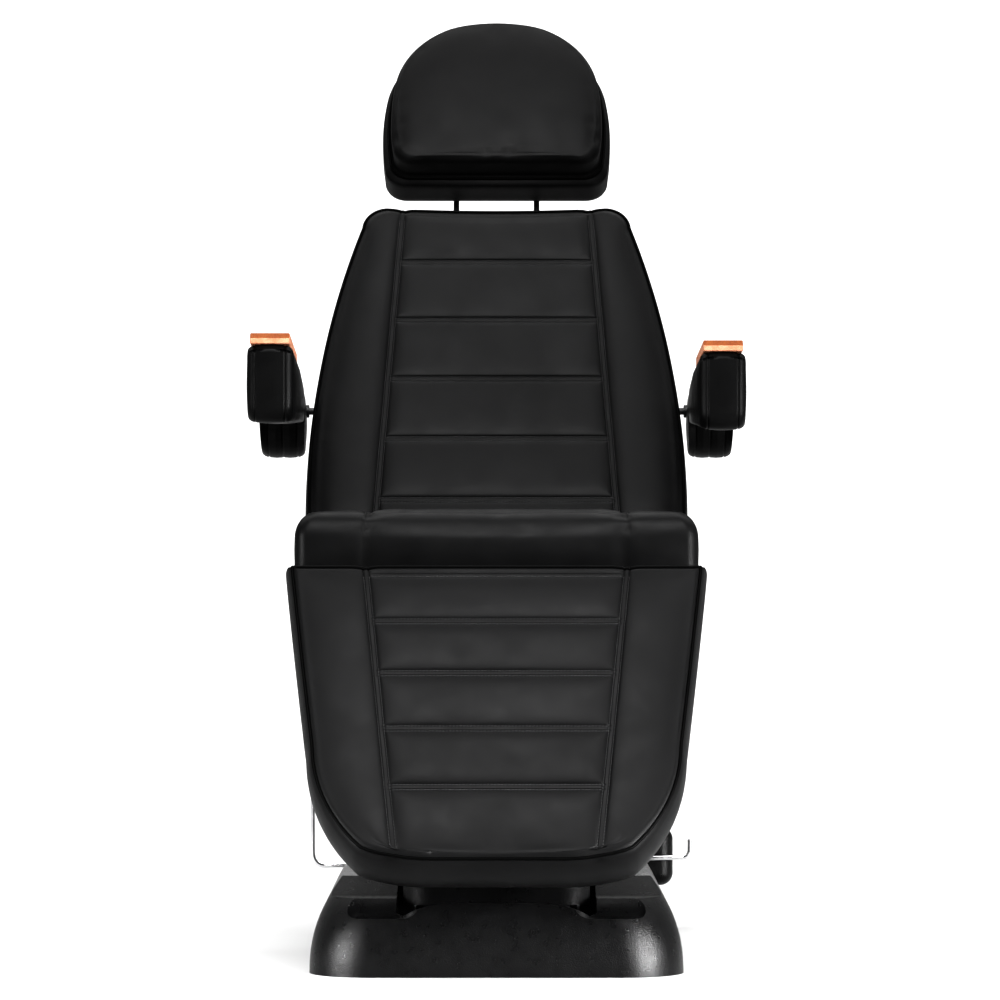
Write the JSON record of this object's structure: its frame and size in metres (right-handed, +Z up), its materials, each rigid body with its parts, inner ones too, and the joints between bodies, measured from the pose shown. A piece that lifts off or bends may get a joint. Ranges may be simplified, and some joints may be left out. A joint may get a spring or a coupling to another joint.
{
  "type": "pedicure chair",
  "caption": "Electric pedicure and treatment chair in black leather, with sliding headrest, flip-up armrests, reclining back, raising legrest and a lift in a moulded base.",
  "frame": {"origin": "on the floor, under the middle of the base cover", "axes": "+Z up, the chair faces -Y, +X to the right as seen from in front"},
  "size_m": [0.806, 1.515, 1.5837],
  "materials": {
    "upholstery": "satin grained PU",
    "board": "black lining over plywood",
    "armrest_wood": "honey lacquer",
    "base_plastic": "orange-peel grain",
    "dark_plastic": "fine grain",
    "chrome_rod": "polished",
    "bright_steel": "turned",
    "foot_rubber": "matt",
    "frame_paint": "black powder coat"
  },
  "bodies": {
    "base": {"base_rails": "frame_paint", "base_cross_members": "frame_paint", "levelling_feet": "foot_rubber", "foot_lock_nuts": "bright_steel", "front_pivot_lugs": "frame_paint", "front_pivot_shaft": "bright_steel", "rear_pivot_lugs": "frame_paint", "rear_pivot_shaft": "bright_steel", "lift_actuator_lug": "frame_paint", "base_cover": "base_plastic", "cover_posts": "frame_paint", "control_box_bracket": "frame_paint", "control_box": "base_plastic", "power_inlet": "dark_plastic"},
    "front_lift_arm": {"front_arm_left": "frame_paint", "front_arm_right": "frame_paint", "front_arm_tie": "frame_paint"},
    "rear_lift_arm": {"rear_arm_left": "frame_paint", "rear_arm_right": "frame_paint", "rear_arm_tie": "frame_paint"},
    "carriage": {"carriage_plates": "frame_paint", "front_upper_shaft": "bright_steel", "rear_upper_shaft": "bright_steel", "actuator_pins": "bright_steel", "lift_cover": "base_plastic", "lift_cover_spacers": "frame_paint", "seat_rails": "frame_paint", "back_hinge_pins": "bright_steel", "leg_hinge_pins": "bright_steel", "seat_cross_members": "frame_paint", "seat_board": "board", "seat_cushion": "upholstery", "roll_holder": "chrome_rod", "roll_holder_block": "frame_paint"},
    "backrest": {"back_cushion": "upholstery", "back_board": "board", "back_rails": "frame_paint", "back_cross_members": "frame_paint", "back_actuator_lever": "frame_paint", "armrest_bolts": "frame_paint", "headrest_guides": "dark_plastic"},
    "headrest": {"headrest_pad": "upholstery", "headrest_board": "board", "headrest_rods": "frame_paint", "headrest_clamps": "dark_plastic"},
    "legrest": {"leg_cushion": "upholstery", "leg_board": "board", "leg_rails": "frame_paint", "leg_cross_members": "frame_paint", "leg_actuator_lever": "frame_paint"},
    "left_armrest": {"left_armrest_pad": "upholstery", "left_armrest_top": "armrest_wood"},
    "right_armrest": {"right_armrest_pad": "upholstery", "right_armrest_top": "armrest_wood"},
    "lift_housing": {"lift_actuator": "dark_plastic"},
    "lift_rod": {"lift_actuator_rod": "bright_steel"},
    "back_housing": {"back_actuator": "dark_plastic"},
    "back_rod": {"back_actuator_rod": "bright_steel"},
    "leg_housing": {"leg_actuator": "dark_plastic"},
    "leg_rod": {"leg_actuator_rod": "bright_steel"}
  },
  "joints": [
    {"name": "lift_raise", "type": "hinge", "parent": "base", "child": "front_lift_arm", "pos_m": [0, -0.39, 0.075], "axis": [1, 0, 0], "range_deg": [0, 27]},
    {"name": "lift_level", "type": "hinge", "parent": "front_lift_arm", "child": "carriage", "pos_m": [0, 0.08128, 0.29476], "axis": [1, 0, 0], "range_deg": [-27.2, 0.2]},
    {"name": "lift_follow", "type": "hinge", "parent": "base", "child": "rear_lift_arm", "pos_m": [0, -0.17, 0.075], "axis": [1, 0, 0], "range_deg": [-0.2, 27.2]},
    {"name": "back_recline", "type": "hinge", "parent": "carriage", "child": "backrest", "pos_m": [0, 0.23492, 0.60011], "axis": [-1, 0, 0], "range_deg": [-12, 57]},
    {"name": "leg_raise", "type": "hinge", "parent": "carriage", "child": "legrest", "pos_m": [0, -0.22348, 0.5587], "axis": [-1, 0, 0], "range_deg": [0, 57]},
    {"name": "headrest_slide", "type": "slide", "parent": "backrest", "child": "headrest", "axis": [0, 0.5446, 0.8387], "range_m": [-0.075, 0.06]},
    {"name": "left_armrest_flip", "type": "hinge", "parent": "backrest", "child": "left_armrest", "pos_m": [0, 0.51149, 0.88552], "axis": [-1, 0, 0], "range_deg": [0, 110]},
    {"name": "right_armrest_flip", "type": "hinge", "parent": "backrest", "child": "right_armrest", "pos_m": [0, 0.51149, 0.88552], "axis": [-1, 0, 0], "range_deg": [0, 110]},
    {"name": "lift_ram_tilt", "type": "hinge", "parent": "base", "child": "lift_housing", "pos_m": [0, 0.35, 0.075], "axis": [1, 0, 0], "range_deg": [-7.74, 0.12]},
    {"name": "lift_ram_stroke", "type": "slide", "parent": "lift_housing", "child": "lift_rod", "axis": [0, -0.9703, 0.2421], "range_m": [-0.0005, 0.07897]},
    {"name": "back_ram_tilt", "type": "hinge", "parent": "carriage", "child": "back_housing", "pos_m": [0, -0.05, 0.417], "axis": [1, 0, 0], "range_deg": [-0.177, 0.412]},
    {"name": "back_ram_stroke", "type": "slide", "parent": "back_housing", "child": "back_rod", "axis": [0, 0.9345, 0.3559], "range_m": [-0.07233, 0.01562]},
    {"name": "leg_ram_tilt", "type": "hinge", "parent": "carriage", "child": "leg_housing", "pos_m": [0, 0.11, 0.485], "axis": [1, 0, 0], "range_deg": [-0.126, 0.115]},
    {"name": "leg_ram_stroke", "type": "slide", "parent": "leg_housing", "child": "leg_rod", "axis": [0, -0.9999, 0.0115], "range_m": [-0.0005, 0.07807]}
  ],
  "couplings": [
    {"joint": "lift_level", "follows": "lift_raise", "ratio": -1},
    {"joint": "lift_follow", "follows": "lift_raise", "ratio": 1},
    {"joint": "lift_ram_tilt", "follows": "lift_raise", "ratio": -0.28222},
    {"joint": "lift_ram_stroke", "follows": "lift_raise", "m_per_rad": 0.16651},
    {"joint": "back_ram_tilt", "follows": "back_recline", "ratio": 0.00522},
    {"joint": "back_ram_stroke", "follows": "back_recline", "m_per_rad": -0.072204},
    {"joint": "leg_ram_tilt", "follows": "leg_raise", "ratio": -0.0002},
    {"joint": "leg_ram_stroke", "follows": "leg_raise", "m_per_rad": 0.077971}
  ]
}
